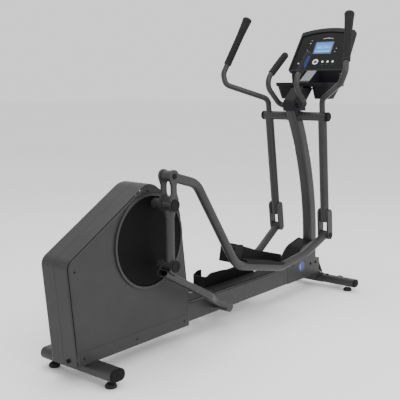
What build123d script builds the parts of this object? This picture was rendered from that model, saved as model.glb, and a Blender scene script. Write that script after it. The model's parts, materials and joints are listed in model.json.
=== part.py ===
from build123d import *

import os
from math import atan2, cos, hypot, radians, sin

# Rear-drive elliptical trainer with moving handles, built from its separate pieces.
# Millimetres. +X is forward, towards the console, +Y is the user's left and +Z is up.
# The origin is on the floor, under the middle of the machine.

os.makedirs("parts", exist_ok=True)

# Linkage, in the side planes: (X, Z) points and lengths
CRANK_CENTRE = (-620.0, 542.0)
CRANK_RADIUS = 170.0
CRANK_PHASE = 9.25  # right crank, degrees forward of top dead centre
COUPLER_LOWER = 270.0  # crank pin to rocker pin
COUPLER_UPPER = 125.0  # crank pin to the pedal lever's barrel
ROCKER_PIVOT = (-104.0, 129.0)
ROCKER_LENGTH = 575.0
LEVER_LENGTH = 1431.0
HAND_PIVOT = (690.0, 1044.0)
HAND_LENGTH = 683.5
LINK_Y = 178.0  # the plane of the levers, either side of the middle

# Fits and gaps
RUNNING = 0.05

# Base
RAIL_HALF = 55.0
RAIL_LOW = 87.0
RAIL_TOP = 184.0
RAIL_REAR = -1000.0
RAIL_FRONT = 556.0
RAIL_WALL = 3.0
REAR_BAR_X = -953.0
REAR_BAR_Z = 61.0
REAR_BAR_SIZE = (80.0, 52.0)
REAR_BAR_HALF = 214.0
FRONT_BAR_X = 938.0
FRONT_BAR_Z = 52.0
FRONT_BAR_SIZE = (58.0, 46.0)
FRONT_BAR_HALF = 284.0
SLEEVE_HALF = 75.0
REAR_FOOT_Y = 178.0
FRONT_FOOT_Y = 237.0
STUD_RADIUS = 5.0
WHEEL_X = 1000.0
WHEEL_Z = 38.0
WHEEL_RADIUS = 27.0
WHEEL_Y = 150.0
WHEEL_PIN = 5.0
FORK_CORNERS = [(955, 34), (WHEEL_X + 13, 25), (WHEEL_X + 13, 51), (955, 66)]

# Mast
MAST_X = 880.0
MAST_BEND_Z = 250.0
MAST_BEND_RADIUS = 1700.0
MAST_LEAN = 28.0
MAST_SIZE = (76.0, 60.0)
BAR_CROSS = (664.0, 1104.0)  # the fixed handlebar's cross tube, saddled on the mast top
PIVOT_AXLE_RADIUS = 15.0
PIVOT_AXLE_HALF = 206.0

# Levers and tubes
LEVER_TUBE = 22.0
HAND_TUBE = 24.5
HANDLE_TUBE = 16.0
FIXED_BAR_TUBE = 15.0
TUBE_WALL = 2.5
BARREL_RADIUS = 24.0
PLATE_INNER = 155.0  # coupler casting: inner face of the inboard plate
PLATE_THICK = 12.0

# Drive
DISC_RADIUS = 198.0
OPENING_RADIUS = 201.0
CRANK_PIN_RADIUS = 10.0
AXLE_RADIUS = 12.5
PULLEY_RADIUS = 150.0
SMALL_PULLEY_RADIUS = 25.0
FLYWHEEL_CENTRE = (-880.0, 330.0)
FLYWHEEL_RADIUS = 125.0
BELT_Y = 16.0

# Housing
HOUSING_HALF = 85.0
HOUSING_WALL = 3.0
INLET = (-1043.0, -30.0, 104.0)
INLET_RADIUS = 9.0

# Console
CONSOLE_TILT = 32.0  # degrees back from upright
CONSOLE_POINT = (961.0, 1406.0)  # on the face, under the screen
CONSOLE_DEPTH = 37.0


def side_plane(y):
    """A plane at y whose sketch coordinates are (X, Z)."""
    return Plane.XZ.offset(-y)


def link_plane(start, end, y):
    """A plane at y with its sketch origin at start and its sketch X towards end."""
    return Plane(
        origin=(start[0], y, start[1]),
        x_dir=(end[0] - start[0], 0, end[1] - start[1]),
        z_dir=(0, -1, 0),
    )


def prism(plane, corners, radii, half, mode=Mode.ADD):
    """A filleted outline extruded half each way from its plane."""
    with BuildSketch(plane) as section:
        with BuildLine():
            FilletPolyline(*corners, radius=radii, close=True)
        make_face()
    extrude(section.sketch, amount=half, both=True, mode=mode)


def rod(x, z, radius, y0, y1, mode=Mode.ADD):
    """A cylinder along Y between two stations."""
    with Locations((x, (y0 + y1) / 2, z)):
        Cylinder(radius, abs(y1 - y0), rotation=(90, 0, 0), mode=mode)


def tube(corners, radii, outer, wall=TUBE_WALL, plane=Plane.XY, mode=Mode.ADD):
    """A round tube along a filleted path."""
    with BuildLine(plane) as path:
        if radii:
            FilletPolyline(*corners, radius=radii)
        else:
            Line(*corners)
    route = path.wire()
    with BuildSketch(Plane(origin=route @ 0, z_dir=route % 0)) as section:
        Circle(outer)
        if wall:
            Circle(outer - wall, mode=Mode.SUBTRACT)
    sweep(section.sketch, path=route, mode=mode)


def block(x0, x1, y0, y1, z0, z1, mode=Mode.ADD):
    """A box between six stations."""
    with Locations(((x0 + x1) / 2, (y0 + y1) / 2, (z0 + z1) / 2)):
        Box(abs(x1 - x0), abs(y1 - y0), abs(z1 - z0), mode=mode)


def lower_meet(a, reach_a, b, reach_b):
    """The lower of the two points at reach_a from a and reach_b from b."""
    dx, dz = b[0] - a[0], b[1] - a[1]
    gap = hypot(dx, dz)
    along = (gap**2 + reach_a**2 - reach_b**2) / (2 * gap)
    across = (reach_a**2 - along**2) ** 0.5
    foot = (a[0] + along * dx / gap, a[1] + along * dz / gap)
    meets = [
        (foot[0] - k * across * dz / gap, foot[1] + k * across * dx / gap)
        for k in (1, -1)
    ]
    return min(meets, key=lambda point: point[1])


def linkage(phase):
    """Crank pin, rocker pin, lever barrel and hand lever pin for a crank phase."""
    turn = radians(phase)
    crank_pin = (
        CRANK_CENTRE[0] + CRANK_RADIUS * sin(turn),
        CRANK_CENTRE[1] + CRANK_RADIUS * cos(turn),
    )
    rocker_pin = lower_meet(crank_pin, COUPLER_LOWER, ROCKER_PIVOT, ROCKER_LENGTH)
    reach = 1 + COUPLER_UPPER / COUPLER_LOWER
    barrel = tuple(r + reach * (c - r) for r, c in zip(rocker_pin, crank_pin))
    hand_pin = lower_meet(barrel, LEVER_LENGTH, HAND_PIVOT, HAND_LENGTH)
    return crank_pin, rocker_pin, barrel, hand_pin


def export(piece, name):
    """Label a finished piece and write its STEP file."""
    piece.part.label = name
    export_step(piece.part, f"parts/{name}.step")


SIDES = (("right", -1, CRANK_PHASE), ("left", 1, CRANK_PHASE + 180))

# ---------------------------------------------------------------- base

with BuildPart() as main_rail:
    block(RAIL_REAR, RAIL_FRONT, -RAIL_HALF, RAIL_HALF, RAIL_LOW, RAIL_TOP)
    fillet(main_rail.edges().filter_by(Axis.X), 8)
    block(
        RAIL_REAR + RAIL_WALL,
        RAIL_FRONT,
        -RAIL_HALF + RAIL_WALL,
        RAIL_HALF - RAIL_WALL,
        RAIL_LOW + RAIL_WALL,
        RAIL_TOP - RAIL_WALL,
        mode=Mode.SUBTRACT,
    )
    for side in (-1, 1):
        rod(*ROCKER_PIVOT, 22, side * RAIL_HALF, side * 86)
export(main_rail, "main_rail")

with BuildPart() as rail_cover:
    COVER_REAR, COVER_FRONT, COVER_HALF, COVER_THICK = -330, 548, 42, 3
    block(COVER_REAR, COVER_FRONT, -COVER_HALF, COVER_HALF, RAIL_TOP, RAIL_TOP + COVER_THICK)
    fillet(rail_cover.faces().sort_by(Axis.Z)[-1].edges(), 2)
    with BuildSketch(Plane.XY.offset(RAIL_TOP + COVER_THICK - 0.5)):
        with Locations((470, 12)):
            RectangleRounded(34, 20, 6)
    extrude(amount=9, taper=12)
export(rail_cover, "rail_cover")

for name, x, z, size, half, corner, foot_y in (
    ("rear_stabilizer", REAR_BAR_X, REAR_BAR_Z, REAR_BAR_SIZE, REAR_BAR_HALF, 24, REAR_FOOT_Y),
    ("front_stabilizer", FRONT_BAR_X, FRONT_BAR_Z, FRONT_BAR_SIZE, FRONT_BAR_HALF, 20, FRONT_FOOT_Y),
):
    with BuildPart() as stabilizer:
        with BuildSketch(side_plane(0)) as section:
            with Locations((x, z)):
                RectangleRounded(size[0], size[1], corner)
                RectangleRounded(
                    size[0] - 2 * TUBE_WALL, size[1] - 2 * TUBE_WALL, corner - TUBE_WALL, mode=Mode.SUBTRACT
                )
        extrude(amount=half, both=True)
        for side in (-1, 1):
            with Locations((x, side * foot_y, z - size[1] / 2 + TUBE_WALL)):
                Cylinder(11, 2 * TUBE_WALL, align=(Align.CENTER, Align.CENTER, Align.MIN))
            with Locations((x, side * foot_y, z - size[1] / 2)):
                Cylinder(STUD_RADIUS + RUNNING, 6 * TUBE_WALL, mode=Mode.SUBTRACT)
            if name == "front_stabilizer":
                for station in (-17, 17):
                    prism(side_plane(side * WHEEL_Y + station), FORK_CORNERS, [0, 12, 12, 0], 2)
                rod(WHEEL_X, WHEEL_Z, WHEEL_PIN, side * WHEEL_Y - 22, side * WHEEL_Y + 22)
    export(stabilizer, name)

with BuildPart() as stabilizer_end_caps:
    CAP_LENGTH = 10
    BAR_HALVES = (REAR_BAR_HALF, FRONT_BAR_HALF)
    for x, z, size, half, corner in (
        (REAR_BAR_X, REAR_BAR_Z, REAR_BAR_SIZE, REAR_BAR_HALF, 24),
        (FRONT_BAR_X, FRONT_BAR_Z, FRONT_BAR_SIZE, FRONT_BAR_HALF, 20),
    ):
        for side in (-1, 1):
            with BuildSketch(side_plane(side * half)) as section:
                with Locations((x, z)):
                    RectangleRounded(size[0], size[1], corner)
            extrude(section.sketch, amount=-side * CAP_LENGTH)
    rims = [
        face
        for face in stabilizer_end_caps.faces().filter_by(Axis.Y)
        if any(abs(abs(face.center().Y) - half - CAP_LENGTH) < 0.1 for half in BAR_HALVES)
    ]
    fillet([edge for face in rims for edge in face.edges()], 6)
export(stabilizer_end_caps, "stabilizer_end_caps")

LEVELERS = {
    "rear_right_leveler": (REAR_BAR_X, -REAR_FOOT_Y, REAR_BAR_Z - REAR_BAR_SIZE[1] / 2),
    "rear_left_leveler": (REAR_BAR_X, REAR_FOOT_Y, REAR_BAR_Z - REAR_BAR_SIZE[1] / 2),
    "front_right_leveler": (FRONT_BAR_X, -FRONT_FOOT_Y, FRONT_BAR_Z - FRONT_BAR_SIZE[1] / 2),
    "front_left_leveler": (FRONT_BAR_X, FRONT_FOOT_Y, FRONT_BAR_Z - FRONT_BAR_SIZE[1] / 2),
}
NUT_HEIGHT = 6.0
PAD_RADIUS, DOME_TOP, DOME_TOP_RADIUS = 25.5, 22.0, 9.0
for name, (x, y, under) in LEVELERS.items():
    with BuildPart() as leveler:
        with BuildSketch(Plane.XZ):
            with BuildLine():
                Polyline((0, 0), (PAD_RADIUS - 2.5, 0), (PAD_RADIUS, 3), (PAD_RADIUS, 7))
                ThreePointArc((PAD_RADIUS, 7), (20.5, 16.5), (DOME_TOP_RADIUS, DOME_TOP))
                Polyline(
                    (DOME_TOP_RADIUS, DOME_TOP), (STUD_RADIUS, DOME_TOP),
                    (STUD_RADIUS, under + 14), (0, under + 14), (0, 0),
                )
            make_face()
        revolve(axis=Axis.Z)
    leveler.part.position = (x, y, 0)
    export(leveler, name)

with BuildPart() as leveler_nuts:
    for x, y, under in LEVELERS.values():
        with BuildSketch(Plane.XY.offset(under - NUT_HEIGHT)) as section:
            with Locations((x, y)):
                RegularPolygon(9.5, 6)
                Circle(STUD_RADIUS + RUNNING, mode=Mode.SUBTRACT)
        extrude(section.sketch, amount=NUT_HEIGHT)
export(leveler_nuts, "leveler_nuts")

# ---------------------------------------------------------------- transport wheels


for name, side in (("right_transport_wheel", -1), ("left_transport_wheel", 1)):
    with BuildPart() as wheel:
        rod(WHEEL_X, WHEEL_Z, WHEEL_RADIUS, side * WHEEL_Y - 12, side * WHEEL_Y + 12)
        fillet(wheel.edges().filter_by(GeomType.CIRCLE), 4)
        wheel_bore = WHEEL_PIN + RUNNING
        rod(WHEEL_X, WHEEL_Z, wheel_bore, side * WHEEL_Y - 13, side * WHEEL_Y + 13, mode=Mode.SUBTRACT)
    export(wheel, name)

# ---------------------------------------------------------------- mast and its covers

with BuildPart() as mast_frame:
    BEAM_HALF, BEAM_LOW, BEAM_TOP, BEAM_FRONT = 49, 90, 180, 918
    block(RAIL_FRONT - 60, BEAM_FRONT, -BEAM_HALF, BEAM_HALF, BEAM_LOW, BEAM_TOP)
    block(870, BEAM_FRONT + 20, -BEAM_HALF, BEAM_HALF, FRONT_BAR_Z, BEAM_LOW + 10)
    with BuildSketch(side_plane(0)) as sleeve:
        with Locations((FRONT_BAR_X, FRONT_BAR_Z)):
            RectangleRounded(FRONT_BAR_SIZE[0] + 5, FRONT_BAR_SIZE[1] + 5, 22)
    extrude(sleeve.sketch, amount=SLEEVE_HALF, both=True)
    with BuildSketch(side_plane(0)) as bore:
        with Locations((FRONT_BAR_X, FRONT_BAR_Z)):
            RectangleRounded(FRONT_BAR_SIZE[0], FRONT_BAR_SIZE[1], 20)
    extrude(bore.sketch, amount=SLEEVE_HALF + 5, both=True, mode=Mode.SUBTRACT)
    block(RAIL_FRONT - 60, 900, -BEAM_HALF + 4, BEAM_HALF - 4, BEAM_LOW + 4, BEAM_TOP - 4, mode=Mode.SUBTRACT)
    with BuildLine(Plane.XZ) as column:
        Line((MAST_X, BEAM_TOP - 3), (MAST_X, MAST_BEND_Z))
        bend = JernArc((MAST_X, MAST_BEND_Z), (0, 1), MAST_BEND_RADIUS, MAST_LEAN)
        Line(bend @ 1, bend @ 1 + (bend % 1) * 90)
    route = column.wire()
    with BuildSketch(Plane(origin=route @ 0, x_dir=(1, 0, 0), z_dir=route % 0)) as section:
        RectangleRounded(MAST_SIZE[0], MAST_SIZE[1], 16)
        RectangleRounded(MAST_SIZE[0] - 6, MAST_SIZE[1] - 6, 13, mode=Mode.SUBTRACT)
    sweep(section.sketch, path=route)
    block(500, 800, -60, 60, BAR_CROSS[1], 1300, mode=Mode.SUBTRACT)
    block(500, 625, -60, 60, 1075, 1300, mode=Mode.SUBTRACT)
    rod(*HAND_PIVOT, 27.5, -46, 46)
    for side in (-1, 1):
        rod(*HAND_PIVOT, 24.5, side * 46, side * 49)
    rod(*HAND_PIVOT, PIVOT_AXLE_RADIUS, -PIVOT_AXLE_HALF, PIVOT_AXLE_HALF)
    rod(*BAR_CROSS, FIXED_BAR_TUBE, -60, 60, mode=Mode.SUBTRACT)
export(mast_frame, "mast_frame")

with BuildPart() as pivot_end_caps:
    for side in (-1, 1):
        rod(*HAND_PIVOT, 26, side * PIVOT_AXLE_HALF, side * (PIVOT_AXLE_HALF + 16))
    tips = [
        edge
        for edge in pivot_end_caps.edges().filter_by(GeomType.CIRCLE)
        if abs(abs(edge.center().Y) - PIVOT_AXLE_HALF - 16) < 0.1
    ]
    fillet(tips, 7)
export(pivot_end_caps, "pivot_end_caps")

SHROUD_SEAM = 3.0
SHOULDER = (704, 272)  # corner of the cover's rounded shoulder, before its fillet
SHOULDER_RADIUS = 130
SHROUD_OUTLINE = [
    (RAIL_FRONT + SHROUD_SEAM, RAIL_LOW),
    (905, RAIL_LOW),
    (905, 150),
    (866, 176),
    (862, 298),
    (838, 304),
    SHOULDER,
    (618, RAIL_TOP),
    (RAIL_FRONT + SHROUD_SEAM, RAIL_TOP),
]
for name, side in (("right_base_shroud", -1), ("left_base_shroud", 1)):
    with BuildPart() as base_shroud:
        prism(side_plane(side * 52), SHROUD_OUTLINE, [0, 12, 14, 30, 10, 10, SHOULDER_RADIUS, 30, 0], 3)
        outer_edges = [
            edge for edge in base_shroud.edges() if abs(abs(edge.center().Y) - 55) < 0.05
        ]
        fillet(outer_edges, 1.6)
    export(base_shroud, name)

with BuildPart() as base_covers:
    prism(
        side_plane(0),
        [(612, 180), (618, 184), (705, 270), (836, 301), (836, 295), (708, 264), (624, 180)],
        [0, 0, SHOULDER_RADIUS, 0, 0, SHOULDER_RADIUS - 6, 0],
        BEAM_HALF,
    )
    prism(
        side_plane(0),
        [(BEAM_FRONT, 152), (926, 152), (968, 86), (968, 79), (958, 79), (BEAM_FRONT, 140)],
        [0, 6, 6, 0, 0, 0],
        44,
    )
export(base_covers, "base_covers")

# ---------------------------------------------------------------- drive inside the housing

with BuildPart() as drive_frame:
    for side in (-1, 1):
        prism(
            side_plane(side * 43),
            [(-975, RAIL_TOP), (-540, RAIL_TOP), (-560, 590), (-680, 590), (-930, 380)],
            [0, 0, 40, 40, 40],
            3,
        )
        rod(*CRANK_CENTRE, 26, side * 39, side * 47, mode=Mode.SUBTRACT)
        rod(*FLYWHEEL_CENTRE, 16, side * 39, side * 47, mode=Mode.SUBTRACT)
export(drive_frame, "drive_frame")

with BuildPart() as drive_bearings:
    for side in (-1, 1):
        for centre, outer, bore in (
            (CRANK_CENTRE, 26, AXLE_RADIUS),
            (FLYWHEEL_CENTRE, 16, 8),
        ):
            rod(*centre, outer, side * 38, side * 50)
            rod(*centre, bore + RUNNING, side * 37, side * 51, mode=Mode.SUBTRACT)
export(drive_bearings, "drive_bearings")

with BuildPart() as crank_pulley:
    rod(*CRANK_CENTRE, PULLEY_RADIUS, BELT_Y - 7, BELT_Y + 7)
    for side in (-1, 1):
        face_y = BELT_Y + side * 7
        rod(*CRANK_CENTRE, PULLEY_RADIUS - 14, face_y, face_y - side * 4, mode=Mode.SUBTRACT)
    rod(*CRANK_CENTRE, 32, BELT_Y - 10, BELT_Y + 10)
    with BuildSketch(side_plane(BELT_Y)) as windows:
        with Locations(CRANK_CENTRE):
            with PolarLocations(88, 5):
                Circle(24)
    extrude(windows.sketch, amount=12, both=True, mode=Mode.SUBTRACT)
    rod(*CRANK_CENTRE, AXLE_RADIUS, -70, 70)
export(crank_pulley, "crank_pulley")

with BuildPart() as flywheel:
    rod(*FLYWHEEL_CENTRE, FLYWHEEL_RADIUS, -30, -8)
    for side, face_y in ((-1, -30), (1, -8)):
        rod(*FLYWHEEL_CENTRE, FLYWHEEL_RADIUS - 26, face_y, face_y - side * 7, mode=Mode.SUBTRACT)
    rod(*FLYWHEEL_CENTRE, 30, -32, -6)
    rod(*FLYWHEEL_CENTRE, 8, -52, 52)
    rod(*FLYWHEEL_CENTRE, SMALL_PULLEY_RADIUS, BELT_Y - 8, BELT_Y + 8)
export(flywheel, "flywheel")

BELT_GAP, BELT_THICK = 0.35, 3.0
with BuildPart() as drive_belt:
    for grow, mode in ((BELT_GAP + BELT_THICK, Mode.ADD), (BELT_GAP, Mode.SUBTRACT)):
        with BuildSketch(side_plane(BELT_Y)) as loop:
            with Locations(CRANK_CENTRE):
                Circle(PULLEY_RADIUS + grow)
            with Locations(FLYWHEEL_CENTRE):
                Circle(SMALL_PULLEY_RADIUS + grow)
            make_hull()
        extrude(loop.sketch, amount=5.5, both=True, mode=mode)
export(drive_belt, "drive_belt")

for name, side, phase in SIDES:
    crank_pin = linkage(phase)[0]
    with BuildPart() as crank_arm:
        with BuildSketch(link_plane(CRANK_CENTRE, crank_pin, side * 76)) as web:
            with Locations((CRANK_RADIUS / 2, 0)):
                SlotCenterToCenter(CRANK_RADIUS, 44)
        extrude(web.sketch, amount=6, both=True)
        rod(*crank_pin, 22, side * 82, side * 140)
        rod(*crank_pin, CRANK_PIN_RADIUS, side * 140, side * 211)
        rod(*CRANK_CENTRE, AXLE_RADIUS, side * 60, side * 70, mode=Mode.SUBTRACT)
    export(crank_arm, f"{name}_crank_arm")

    with BuildPart() as crank_disc:
        rod(*CRANK_CENTRE, DISC_RADIUS, side * 84, side * 92)
        rims = [
            edge
            for edge in crank_disc.edges().filter_by(GeomType.CIRCLE)
            if abs(abs(edge.center().Y) - 92) < 0.1
        ]
        fillet(rims, 3)
        rod(*crank_pin, 22, side * 80, side * 95, mode=Mode.SUBTRACT)
    export(crank_disc, f"{name}_crank_disc")

# ---------------------------------------------------------------- housing

HOUSING_CORNERS = [(-1044, 87), (-1088, 524), (-612, 812), (-410, 680), (-346, 220), (-343, 87)]
HOUSING_RADII = [0, 45, 100, 120, 60, 0]
for name, side in (("right_housing", -1), ("left_housing", 1)):
    with BuildPart() as housing:
        SEAM = 0.6
        middle = side * (SEAM + HOUSING_HALF) / 2
        prism(side_plane(middle), HOUSING_CORNERS, HOUSING_RADII, (HOUSING_HALF - SEAM) / 2)
        outer_edges = [
            edge
            for edge in housing.edges()
            if abs(abs(edge.center().Y) - HOUSING_HALF) < 0.05 and edge.center().Z > 88
        ]
        fillet(outer_edges, 14)
        with BuildSketch(side_plane(0)) as cavity:
            with BuildLine():
                FilletPolyline(*HOUSING_CORNERS, radius=HOUSING_RADII, close=True)
            make_face()
            offset(amount=-HOUSING_WALL)
        extrude(cavity.sketch, amount=-side * (HOUSING_HALF - HOUSING_WALL), mode=Mode.SUBTRACT)
        rod(*CRANK_CENTRE, OPENING_RADIUS, side * 60, side * 100, mode=Mode.SUBTRACT)
        block(-1030, -300, -RAIL_HALF, RAIL_HALF, 80, RAIL_TOP, mode=Mode.SUBTRACT)
        with Locations(INLET):
            Cylinder(INLET_RADIUS, 60, rotation=(0, 90, 0), mode=Mode.SUBTRACT)
        block(-1100, -300, side * 83.8, side * 95, 146, 148, mode=Mode.SUBTRACT)
    export(housing, name)

with BuildPart() as housing_rims:
    for side in (-1, 1):
        rod(*CRANK_CENTRE, OPENING_RADIUS + 11, side * HOUSING_HALF, side * (HOUSING_HALF + 9))
        rod(*CRANK_CENTRE, OPENING_RADIUS, side * 70, side * 100, mode=Mode.SUBTRACT)
export(housing_rims, "housing_rims")

with BuildPart() as power_inlet:
    with Locations(INLET):
        Cylinder(INLET_RADIUS, 18, rotation=(0, 90, 0))
    with Locations((INLET[0] - 9, INLET[1], INLET[2])):
        Cylinder(6, 20, rotation=(0, 90, 0), mode=Mode.SUBTRACT)
    with Locations((INLET[0] - 2, INLET[1], INLET[2])):
        Cylinder(2, 14, rotation=(0, 90, 0))
export(power_inlet, "power_inlet")

# ---------------------------------------------------------------- the two sides of the linkage

PLATE_OUTER = 2 * LINK_Y - PLATE_INNER
GRIP_AXIS_START = 0.16
HANDLE_PATH = [(0, 178, 0), (0, 178, 95), (-140, 375, 200), (-125, 395, 262), (58, 324, 552)]
HANDLE_RADII = [45, 45, 55]

for name, side, phase in SIDES:
    crank_pin, rocker_pin, barrel, hand_pin = linkage(phase)
    middle = side * LINK_Y

    # coupler: a two-plate casting on the crank pin, over a round leg
    with BuildPart() as coupler_casting:
        for station in (PLATE_INNER - PLATE_THICK / 2, PLATE_OUTER + PLATE_THICK / 2):
            plane = link_plane(crank_pin, barrel, side * station)
            with BuildSketch(plane) as plate:
                Circle(30)
                with Locations((COUPLER_UPPER, 0)):
                    Circle(28)
                with BuildLine():
                    FilletPolyline(
                        (112, 25), (86, 14.5), (52, 14.5), (20, 27),
                        (20, -27), (52, -14.5), (86, -14.5), (112, -25),
                        radius=[0, 18, 18, 0, 0, 18, 18, 0],
                        close=True,
                    )
                make_face()
            extrude(plate.sketch, amount=PLATE_THICK / 2, both=True)
        rod(*crank_pin, 24, side * (PLATE_INNER - 1), side * (PLATE_OUTER + 1))
        plane = link_plane(crank_pin, barrel, middle)
        prism(plane, [(-28, 20), (38, 17), (38, -17), (-28, -20)], [0, 0, 0, 0], LINK_Y - PLATE_INNER + 1)
        with BuildSketch(Plane(origin=plane.from_local_coords((-20, 0, 0)), z_dir=-plane.x_dir)) as collar:
            Circle(28)
        extrude(collar.sketch, amount=34, taper=6)
        with BuildSketch(Plane(origin=plane.from_local_coords((-34, 0, 0)), z_dir=-plane.x_dir)) as socket:
            Circle(LEVER_TUBE)
        extrude(socket.sketch, amount=30, mode=Mode.SUBTRACT)
        pin_bore = CRANK_PIN_RADIUS + RUNNING
        rod(*crank_pin, pin_bore, side * 130, side * 230, mode=Mode.SUBTRACT)
    export(coupler_casting, f"{name}_coupler_casting")

    with BuildPart() as coupler_caps:
        face_y = PLATE_OUTER + PLATE_THICK
        rod(*crank_pin, 26, side * face_y, side * (face_y + 5))
        rod(*barrel, 12, side * face_y, side * (face_y + 3))
    export(coupler_caps, f"{name}_coupler_caps")

    with BuildPart() as coupler_leg:
        with BuildSketch(Plane(origin=plane.from_local_coords((-34, 0, 0)), z_dir=-plane.x_dir)) as leg:
            Circle(LEVER_TUBE)
            Circle(LEVER_TUBE - TUBE_WALL, mode=Mode.SUBTRACT)
        extrude(leg.sketch, amount=COUPLER_LOWER - 34)
        rod(*rocker_pin, 27, side * 156, side * 200)
        rod(*rocker_pin, 8 + RUNNING, side * 150, side * 210, mode=Mode.SUBTRACT)
    export(coupler_leg, f"{name}_coupler_leg")

    # rocker link: two lugs on a flat bar that jogs in to the rail pivot
    ux = (ROCKER_PIVOT[0] - rocker_pin[0]) / ROCKER_LENGTH
    uz = (ROCKER_PIVOT[1] - rocker_pin[1]) / ROCKER_LENGTH
    BAR_DROP, BAR_TAIL, BAR_SIZE, FRONT_Y = 46.0, 30.0, (58.0, 30.0), 117.0
    with BuildPart() as rocker_link:
        tail = (rocker_pin[0] - BAR_TAIL * ux + BAR_DROP * uz, rocker_pin[1] - BAR_TAIL * uz - BAR_DROP * ux)
        nose = (ROCKER_PIVOT[0] - 20 * ux, ROCKER_PIVOT[1] - 20 * uz)
        run = (nose[0] - tail[0], nose[1] - tail[1])
        length = hypot(*run)
        bar_plane = Plane(origin=(tail[0], 0, tail[1]), x_dir=(run[0], 0, run[1]), z_dir=(-run[1], 0, run[0]))
        with BuildLine(bar_plane) as path:
            FilletPolyline(
                (0, middle), (365, middle), (480, side * FRONT_Y), (length, side * FRONT_Y), radius=[70, 70]
            )
        route = path.wire()
        with BuildSketch(Plane(origin=route @ 0, x_dir=(0, 1, 0), z_dir=route % 0)) as section:
            RectangleRounded(*BAR_SIZE, 14)
            RectangleRounded(BAR_SIZE[0] - 5, BAR_SIZE[1] - 5, 11.5, mode=Mode.SUBTRACT)
        sweep(section.sketch, path=route)
        for station in (149, 207):
            with BuildSketch(link_plane(rocker_pin, ROCKER_PIVOT, side * station)) as lug:
                Circle(26)
                with Locations((0, -18)):
                    Rectangle(44, 36)
            extrude(lug.sketch, amount=5, both=True)
        rod(*rocker_pin, 20, side * 120, side * 144)
        rod(*rocker_pin, 8, side * 130, side * 212)
        rod(*ROCKER_PIVOT, 25, side * 89, side * 142)
    export(rocker_link, f"{name}_rocker_link")

    # hand lever: pivot sleeve, lower tube and clevis
    lever_plane = link_plane(HAND_PIVOT, hand_pin, middle)
    with BuildPart() as hand_lever:
        CLEVIS_WINDOW_TOP = HAND_LENGTH - BARREL_RADIUS - 55
        tube([(0, 0), (CLEVIS_WINDOW_TOP, 0)], [], HAND_TUBE, plane=lever_plane)
        rod(*HAND_PIVOT, HAND_TUBE, side * 50, side * 205)
        for station in (LINK_Y - 29.5, LINK_Y + 29.5):
            with BuildSketch(link_plane(HAND_PIVOT, hand_pin, side * station)) as plate:
                with Locations((HAND_LENGTH + 24 - 89, 0)):
                    SlotOverall(178, 48)
            extrude(plate.sketch, amount=5.5, both=True)
        prism(
            lever_plane,
            [(540, 17), (CLEVIS_WINDOW_TOP, 17), (CLEVIS_WINDOW_TOP, -17), (540, -17)],
            [0, 0, 0, 0],
            25,
        )
        rod(*HAND_PIVOT, PIVOT_AXLE_RADIUS + RUNNING, side * 40, side * 215, mode=Mode.SUBTRACT)
        rod(*hand_pin, 9, side * 143, side * 216)
    export(hand_lever, f"{name}_hand_lever")

    # handle: bent upper tube and its grip
    swing = atan2(hand_pin[0] - HAND_PIVOT[0], HAND_PIVOT[1] - hand_pin[1])
    handle_points = [
        (
            HAND_PIVOT[0] + a * cos(swing) - h * sin(swing),
            side * w,
            HAND_PIVOT[1] + a * sin(swing) + h * cos(swing),
        )
        for a, w, h in HANDLE_PATH
    ]
    with BuildPart() as handle:
        tube(handle_points, HANDLE_RADII, HANDLE_TUBE)
        rod(*HAND_PIVOT, HAND_TUBE, side * 100, side * 240, mode=Mode.SUBTRACT)
    export(handle, f"{name}_handle")

    top = Vector(*handle_points[-1])
    grip_line = top - Vector(*handle_points[-2])
    grip_start = top - grip_line * (1 - GRIP_AXIS_START)
    grip_length = grip_line.length * (1 - GRIP_AXIS_START)
    with BuildPart() as grip:
        with BuildSketch(Plane.XZ):
            with BuildLine():
                Polyline((HANDLE_TUBE, 0), (20.5, 0), (21.5, 4), (21.5, grip_length * 0.55))
                Spline(
                    (21.5, grip_length * 0.55), (23.5, grip_length * 0.8), (28.5, grip_length - 8),
                    tangents=[(0, 1), (0.12, 1)],
                )
                Polyline(
                    (28.5, grip_length - 8), (27, grip_length + 1), (20, grip_length + 6),
                    (0, grip_length + 7), (0, grip_length), (HANDLE_TUBE, grip_length), (HANDLE_TUBE, 0),
                )
            make_face()
        revolve(axis=Axis.Z)
    grip.part.location = Plane(origin=grip_start, z_dir=grip_line).location
    export(grip, f"{name}_grip")

    # pedal lever: bent tube between the two barrels
    pedal_plane = link_plane(barrel, hand_pin, middle)
    LEVER_PATH = [(0, 0), (192, 12), (624, -301), (1024, -250), (1251, -141), (LEVER_LENGTH, 0)]
    LEVER_RADII = [110, 150, 180, 260]
    with BuildPart() as pedal_lever:
        tube(LEVER_PATH, LEVER_RADII, LEVER_TUBE, plane=pedal_plane)
        rod(*barrel, BARREL_RADIUS, side * 156, side * 200)
        rod(*hand_pin, BARREL_RADIUS, side * 154.5, side * 201.5)
        rod(*hand_pin, 9 + RUNNING, side * 150, side * 210, mode=Mode.SUBTRACT)
    export(pedal_lever, f"{name}_pedal_lever")

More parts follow.
